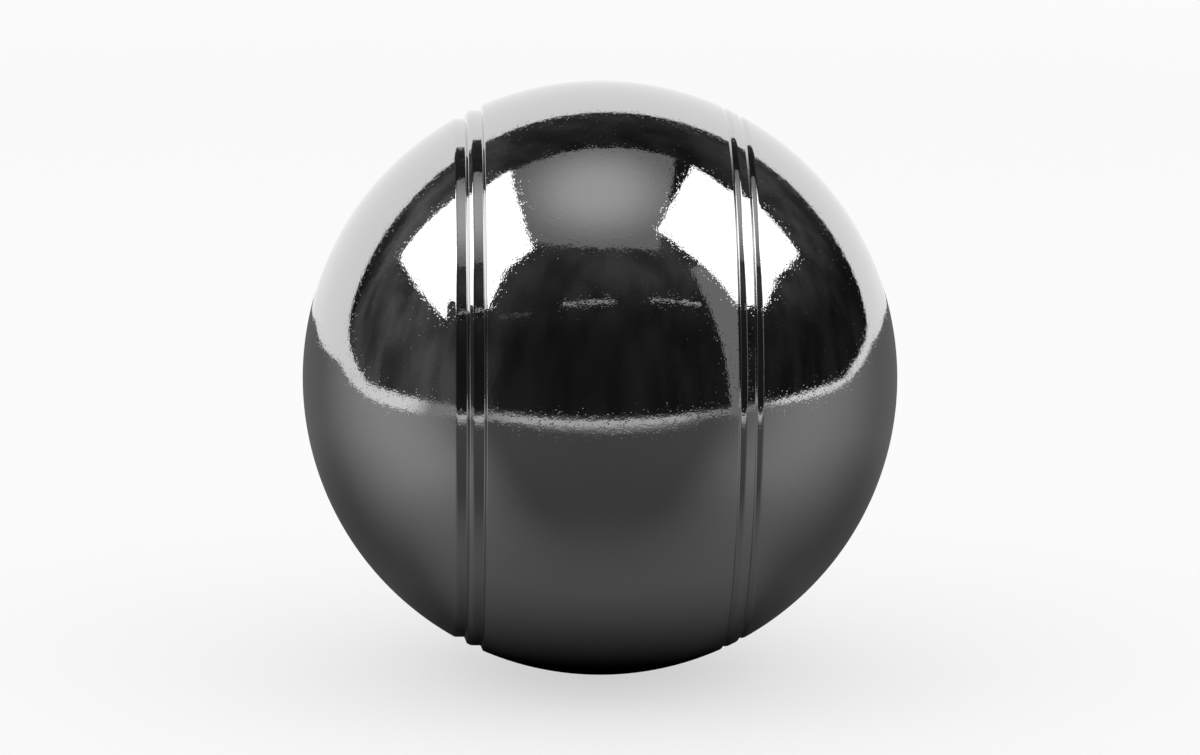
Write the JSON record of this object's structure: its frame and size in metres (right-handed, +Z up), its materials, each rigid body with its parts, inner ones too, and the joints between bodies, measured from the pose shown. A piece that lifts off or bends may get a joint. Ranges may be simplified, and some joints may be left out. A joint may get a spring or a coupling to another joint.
{
  "type": "petanque boule",
  "caption": "Polished chrome-plated steel petanque boule with turned grooves round each side, made of half shells welded together round a mortar core and thrown by hand.",
  "frame": {"origin": "centre of the ball", "axes": "+X along the axis the grooves are turned about, square to the weld seam and towards the filling plug; +Z up; -Y towards the camera of the picture"},
  "size_m": [0.073, 0.073, 0.073],
  "materials": {
    "chrome_plated_steel": "polished chrome plate over steel, with a fine orange-peel ripple",
    "mortar": "dry cast mortar, matte and sandy"
  },
  "bodies": {
    "root": {"left_half_shell": "chrome_plated_steel", "right_half_shell": "chrome_plated_steel", "girth_weld": "chrome_plated_steel", "fill_plug": "chrome_plated_steel", "mortar_core": "mortar"}
  },
  "joints": []
}
